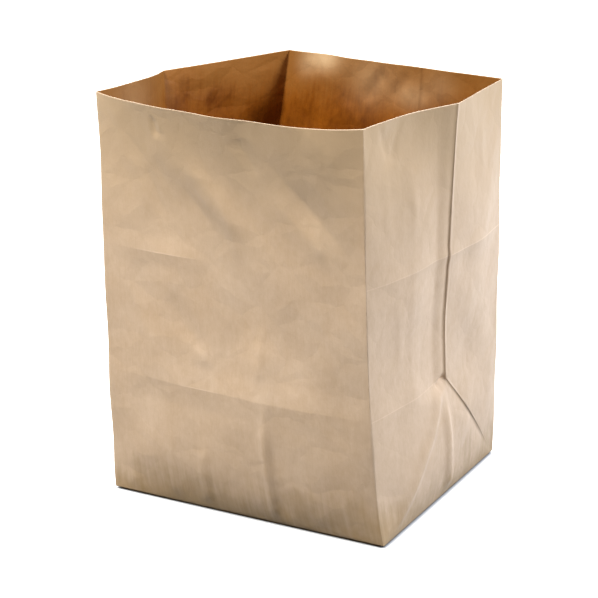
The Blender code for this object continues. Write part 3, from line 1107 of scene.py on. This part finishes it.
@dataclass(frozen=True)
class KraftPaper:
    """One face of unbleached kraft paper, pressed from brown wood pulp on a paper machine.

    The pulp gives the warm brown, cloudy where the fibres clump, and the machine's run leaves
    fine streaks up the bag. One face is pressed on a hot roll, so it is paler with a slight gloss,
    and the other is rougher and browner; the bag's inner face is given colours darker still, as
    painted shade. Handling leaves flat facets with fine ridges.
    """

    name: str
    light: str
    dark: str
    # Colour of rubbed places and of the painted highlights
    rubbed_and_highlit: str
    roughness: float
    specular: float
    crumple: float
    # Tint near the top: painted shade darkens the outer face's top, painted light brightens the
    # inner face near the rim
    painted_top_tone: str
    painted_top_height: Point2
    # Tint near the base: painted shade, darker towards the bottom
    painted_base_shade: str
    mottle: float = 0.95
    # Heights over which the painted shade near the base goes from full to none
    painted_base_shade_height: Point2 = (0.030, -0.004)
    ior: float = 1.5

    # Streaks from the machine, clouds and clumps of pulp, and fibres, which are drawn much
    # coarser than the real ones of about 0.03 mm across, so that they show
    streaks: Pattern = Pattern(0.0026, 0.045, 3.0, 0.6, 3.1)
    clouds: Pattern = Pattern(0.024, 0.0336, 4.0, 0.55, 7.7)
    clumps: Pattern = Pattern(0.0045, 0.00585, 3.0, 0.6, 1.3)
    fibres: Pattern = Pattern(0.0009, 0.0045, 2.0, 0.5, 5.9)

    # How much they sway the tone between dark and light, and the clouds the roughness
    darker: float = 0.025
    streak_tone: float = 0.25
    clump_tone: float = 0.50
    fibre_tone: float = 0.30
    roughness_sway: float = 0.22

    # How far clouds and streaks move the edge of the painted tints near the top and the base, in
    # metres, and how much of the rub and painted highlight colour covers a fully marked place
    cloud_wander: float = 0.050
    streak_wander: float = 0.022
    mean_wander: float = 0.035
    rub_and_highlight_cover: float = 0.6

    # Size, depth and waviness of the facets, and strength and depth of the two finer bumps
    crinkle_size: float = 0.015
    crinkle_height: float = 0.0022
    crinkle_warp: float = 0.35
    streaks_in_bump: float = 0.3
    pulp_bump: Point2 = (0.35, 0.00025)
    fibre_bump: Point2 = (0.3, 0.00008)

    def material(self) -> bpy.types.Material:
        """Build the paper's node material.

        Returns:
            The material.
        """
        made = bpy.data.materials.new(self.name)
        made.use_nodes = True
        tree = made.node_tree
        shader = tree.nodes["Principled BSDF"]
        shader.inputs["IOR"].default_value = self.ior
        shader.inputs["Specular IOR Level"].default_value = self.specular
        sheet = add_node(tree, "ShaderNodeAttribute", {"attribute_name": "sheet"})
        # Lighter marks: partly rubbed paper, partly painted highlight and painted sheen
        rub_and_highlight = add_node(tree, "ShaderNodeAttribute", {"attribute_name": "rub_and_highlight"})
        place = sheet.outputs["Vector"]

        shades = []
        for pattern in (self.streaks, self.clouds, self.clumps, self.fibres):
            scale = (1.0 / pattern.across, 1.0 / pattern.up, 1.0)
            moved = add_node(
                tree,
                "ShaderNodeMapping",
                inputs={"Scale": scale, "Location": (pattern.shift,) * 3},
                links={"Vector": place},
            )
            texture = add_node(
                tree,
                "ShaderNodeTexNoise",
                inputs={"Scale": 1.0, "Detail": pattern.detail, "Roughness": pattern.roughness},
                links={"Vector": moved.outputs["Vector"]},
            )
            shades.append(texture.outputs["Fac"])
        streaks, clouds, clumps, fibres = shades
        split = add_node(tree, "ShaderNodeSeparateXYZ", links={"Vector": place})

        # Weighted sums: a start, and each pattern with its weight
        tone = (
            (streaks, self.streak_tone),
            (clouds, self.mottle),
            (clumps, self.clump_tone),
            (fibres, self.fibre_tone),
        )
        reach = (
            (split.outputs["Y"], 1.0),
            (clouds, self.cloud_wander),
            (streaks, self.streak_wander),
        )
        totals = []
        for start, terms in (
            (-self.darker - 0.5 * self.mottle, tone),
            (-self.mean_wander, reach),
            (0.0, ((rub_and_highlight.outputs["Fac"], self.rub_and_highlight_cover),)),
            (self.roughness - 0.5 * self.roughness_sway, ((clouds, self.roughness_sway),)),
            (0.0, ((clumps, 1.0), (streaks, self.streaks_in_bump))),
        ):
            total = None
            for value, weight in terms:
                added = add_node(
                    tree,
                    "ShaderNodeMath",
                    {"operation": "MULTIPLY_ADD"},
                    inputs={1: weight, 2: start},
                    links={0: value, 2: total},
                )
                total = added.outputs["Value"]
            totals.append(total)
        light, cloudy, wear_and_highlight, rough, pressed = totals
        tree.links.new(rough, shader.inputs["Roughness"])

        # Colours laid one over the other: the paper's tone, a tint near the top that is painted
        # shade outside and painted light inside, painted shade near the base, and the rub with its
        # painted highlights
        layers = [(light, self.light)]
        for tint, (start, full) in (
            (self.painted_top_tone, self.painted_top_height),
            (self.painted_base_shade, self.painted_base_shade_height),
        ):
            reached = add_node(
                tree,
                "ShaderNodeMapRange",
                {"interpolation_type": "SMOOTHSTEP"},
                inputs={1: start, 2: full},
                links={0: cloudy},
            )
            layers.append((reached.outputs[0], tint))
        colour = None
        for share, tint in (*layers, (wear_and_highlight, self.rubbed_and_highlit)):
            tinted = add_node(
                tree,
                "ShaderNodeMix",
                {"data_type": "RGBA", "clamp_factor": True},
                inputs={6: linear(self.dark), 7: linear(tint)},
                links={0: share, 6: colour},
            )
            colour = tinted.outputs[2]
        tree.links.new(colour, shader.inputs["Base Color"])

        # Bumps laid one over the other: crumpled facets, pulp and fibres
        bent = add_node(
            tree,
            "ShaderNodeMapping",
            inputs={"Scale": (1.0 / self.crinkle_size,) * 3},
            links={"Vector": place},
        )
        warp = add_node(
            tree,
            "ShaderNodeTexNoise",
            inputs={"Scale": 1.3, "Detail": 3.0, "Roughness": 0.6},
            links={"Vector": bent.outputs["Vector"]},
        )
        warped = add_node(
            tree,
            "ShaderNodeMix",
            {"data_type": "VECTOR"},
            inputs={0: self.crinkle_warp},
            links={4: bent.outputs["Vector"], 5: warp.outputs["Color"]},
        )
        facets = add_node(
            tree,
            "ShaderNodeTexVoronoi",
            {"feature": "DISTANCE_TO_EDGE"},
            inputs={"Scale": 1.0},
            links={"Vector": warped.outputs[1]},
        )
        normal = None
        for height, (strength, depth) in (
            (facets.outputs["Distance"], (self.crumple, self.crinkle_height)),
            (pressed, self.pulp_bump),
            (fibres, self.fibre_bump),
        ):
            bump = add_node(
                tree,
                "ShaderNodeBump",
                inputs={"Strength": strength, "Distance": depth},
                links={"Height": height, "Normal": normal},
            )
            normal = bump.outputs["Normal"]
        tree.links.new(normal, shader.inputs["Normal"])
        return made


@dataclass(frozen=True)
class PaleFloor:
    """Matt white photographic board: it shows white with the bag's shadow.

    Only what the camera, a gloss or a glass sees is white. To other light it is grey, so it
    throws little light up on the walls, and from below it is clear.
    """

    # The board as other light meets it and as it shows, then the power, the strength and the
    # reach in metres of the shadow where the bag touches it
    bounce: str = "#222222"
    shown: str = "#F4F4F4"
    sharpness: float = 2.0
    lift: float = 0.80
    contact: float = 0.0035

    def material(self) -> bpy.types.Material:
        """Build the floor's node material.

        Returns:
            The material.
        """
        made = bpy.data.materials.new("white_board")
        made.use_nodes = True
        tree = made.node_tree
        tree.nodes.remove(tree.nodes["Principled BSDF"])
        output = tree.nodes["Material Output"]
        open_sky = add_node(
            tree,
            "ShaderNodeAmbientOcclusion",
            {"samples": 8},
            inputs={"Color": linear(self.shown), "Distance": self.contact},
        )
        seen = add_node(tree, "ShaderNodeBsdfDiffuse", links={"Color": open_sky.outputs["Color"]})
        glowing = open_sky.outputs["AO"]
        for operation, number in (("POWER", self.sharpness), ("MULTIPLY", self.lift)):
            changed = add_node(
                tree,
                "ShaderNodeMath",
                {"operation": operation},
                inputs={1: number},
                links={0: glowing},
            )
            glowing = changed.outputs[0]
        glow = add_node(tree, "ShaderNodeEmission", links={"Strength": glowing})
        bright = add_node(
            tree, "ShaderNodeAddShader", links={0: seen.outputs[0], 1: glow.outputs[0]}
        )
        dull = add_node(tree, "ShaderNodeBsdfDiffuse", inputs={"Color": linear(self.bounce)})
        clear = add_node(tree, "ShaderNodeBsdfTransparent")
        behind = add_node(tree, "ShaderNodeNewGeometry")
        surface = dull.outputs[0]
        for share, other in ((shown_rays(tree), bright), (behind.outputs["Backfacing"], clear)):
            mixed = add_node(
                tree, "ShaderNodeMixShader", links={0: share, 1: surface, 2: other.outputs[0]}
            )
            surface = mixed.outputs[0]
        tree.links.new(surface, output.inputs["Surface"])
        return made


def shown_rays(tree: bpy.types.NodeTree) -> bpy.types.NodeSocket:
    """1 for a ray from the camera or off a gloss or glass, and 0 for any other.

    Args:
        tree: Node tree that gets the nodes.

    Returns:
        The socket with that value.
    """
    path = add_node(tree, "ShaderNodeLightPath")
    shown = path.outputs["Is Camera Ray"]
    for kind in ("Is Glossy Ray", "Is Transmission Ray"):
        either = add_node(
            tree,
            "ShaderNodeMath",
            {"operation": "MAXIMUM"},
            links={0: shown, 1: path.outputs[kind]},
        )
        shown = either.outputs[0]
    return shown


def direction(azimuth: float, elevation: float) -> Vector:
    """Direction away from the bag, by degrees round from the front and up from the floor."""
    turn, lift = radians(azimuth), radians(elevation)
    return Vector((sin(turn) * cos(lift), -cos(turn) * cos(lift), sin(lift)))


@dataclass(frozen=True)
class SoftLamp:
    """A square softbox aimed at the bag.

    Attributes:
        name: What the lamp does.
        azimuth: Degrees round from the front towards the right gusset.
        elevation: Degrees above the floor.
        distance: Metres from the bag.
        size: Side of the softbox in metres.
        power: Watts.
        colour: Hex colour of the light.
    """

    name: str
    azimuth: float
    elevation: float
    distance: float
    size: float
    power: float
    colour: str = "#FFFFFF"

    def build(self, aim: Vector) -> bpy.types.Object:
        """Place the lamp.

        Args:
            aim: Point it shines at.

        Returns:
            The lamp's object.
        """
        data = bpy.data.lights.new(self.name, "AREA")
        data.shape = "SQUARE"
        data.size = self.size
        data.energy = self.power
        data.color = linear(self.colour)[:3]
        lamp = bpy.data.objects.new(self.name, data)
        away = direction(self.azimuth, self.elevation)
        lamp.location = aim + away * self.distance
        lamp.rotation_euler = (-away).to_track_quat("-Z", "Y").to_euler()
        bpy.context.scene.collection.objects.link(lamp)
        return lamp


@dataclass
class Studio:
    """Floor, lamps, world and camera of the product photograph."""

    bag_height: float = 0.240
    floor_half: float = 5.0
    ambient: float = 0.17
    lamps: tuple[SoftLamp, ...] = (
        SoftLamp("front_softbox", -22.0, 58.0, 1.5, 0.35, 34.0),
        SoftLamp("side_softbox", 106.0, 40.0, 1.5, 0.35, 31.5, "#E8EFFC"),
        SoftLamp("back_softbox", 222.0, 35.0, 1.5, 0.5, 20.0),
    )

    # The camera as found from the bag's corners in the photograph, in degrees and bag heights
    azimuth: float = 29.38
    elevation: float = 18.19
    roll: float = -1.01
    lens: float = 105.77
    distance: float = 4.341
    aside: float = -0.014
    above: float = -0.038

    def camera(self) -> bpy.types.Object:
        """Camera at the photograph's angle, looking at the middle of the bag.

        Returns:
            The camera's object.
        """
        back, roll = direction(self.azimuth, self.elevation), radians(self.roll)
        level = (-back).cross(Vector((0, 0, 1))).normalized()
        upright = level.cross(-back)
        right = cos(roll) * level + sin(roll) * upright
        up = -sin(roll) * level + cos(roll) * upright
        tall = self.bag_height
        eye = Vector((0, 0, tall / 2)) + tall * (
            self.distance * back + self.aside * right + self.above * up
        )
        data = bpy.data.cameras.new("photo_camera")
        data.lens = self.lens
        data.clip_start = 0.05
        data.clip_end = 30.0
        camera = bpy.data.objects.new("photo_camera", data)
        facing = Matrix((right, up, back)).transposed().to_4x4()
        camera.matrix_world = Matrix.Translation(eye) @ facing
        bpy.context.scene.collection.objects.link(camera)
        bpy.context.scene.camera = camera
        return camera

    def floor(self) -> bpy.types.Object:
        """Flat floor that the bag stands on.

        Returns:
            The floor's object.
        """
        half = self.floor_half
        corners = [(-half, -half, 0), (half, -half, 0), (half, half, 0), (-half, half, 0)]
        mesh = bpy.data.meshes.new("studio_floor")
        mesh.from_pydata(corners, [], [(0, 1, 2, 3)])
        mesh.materials.append(PaleFloor().material())
        floor = bpy.data.objects.new("studio_floor", mesh)
        bpy.context.scene.collection.objects.link(floor)
        return floor

    def world(self) -> bpy.types.World:
        """White surroundings that light the bag evenly at a lower strength.

        Returns:
            The world.
        """
        world = bpy.data.worlds.new("studio")
        world.use_nodes = True
        tree = world.node_tree
        plain = tree.nodes["Background"]
        plain.inputs["Color"].default_value = (1.0, 1.0, 1.0, 1.0)
        plain.inputs["Strength"].default_value = self.ambient
        white = add_node(
            tree, "ShaderNodeBackground", inputs={"Color": (1.0, 1.0, 1.0, 1.0), "Strength": 1.0}
        )
        mixed = add_node(
            tree,
            "ShaderNodeMixShader",
            links={0: shown_rays(tree), 1: plain.outputs[0], 2: white.outputs[0]},
        )
        tree.links.new(mixed.outputs[0], tree.nodes["World Output"].inputs["Surface"])
        bpy.context.scene.world = world
        return world

    def build(self) -> None:
        """Set up the floor, lamps, world and camera."""
        self.floor()
        for lamp in self.lamps:
            lamp.build(Vector((0, 0, self.bag_height / 2)))
        self.world()
        self.camera()
        bpy.context.scene.view_settings.view_transform = "Standard"


def main() -> None:
    """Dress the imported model: the bag first, then the studio round it."""
    logging.basicConfig(level=logging.INFO, format="%(name)s: %(message)s")
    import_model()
    bag = PaperBag()
    # Outer face: its tints near the top and near the base are painted shade
    glazed = KraftPaper(
        name="glazed_kraft_paper",
        light="#D9BFA3",
        dark="#BC9D7A",
        rubbed_and_highlit="#FADEC0",
        roughness=0.48,
        specular=0.35,
        crumple=0.34,
        painted_top_tone="#BA9D78",
        painted_top_height=(0.130, 0.262),
        painted_base_shade="#A5875E",
    )
    # Inner face: darker and browner than the outer, partly its own tone and partly painted shade;
    # its tint near the rim is painted light and near the base painted shade
    rough = KraftPaper(
        name="inner_kraft_paper_tone_and_shade",
        light="#98560F",
        dark="#5A2A02",
        rubbed_and_highlit="#EECFA0",
        roughness=0.46,
        specular=0.2,
        crumple=0.5,
        painted_top_tone="#8B5A25",
        mottle=2.0,
        painted_top_height=(0.202, 0.242),
        painted_base_shade="#6A3A12",
    )
    piece = bag.build(glazed.material(), rough.material())
    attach(piece, "root")
    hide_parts("paper_bag")
    log.info("bag sheet: %d points, %d faces", len(piece.data.vertices), len(piece.data.polygons))
    Studio(bag_height=bag.height).build()
    log.info("studio: floor, lamps, world and camera")


if __name__ == "__main__":
    main()
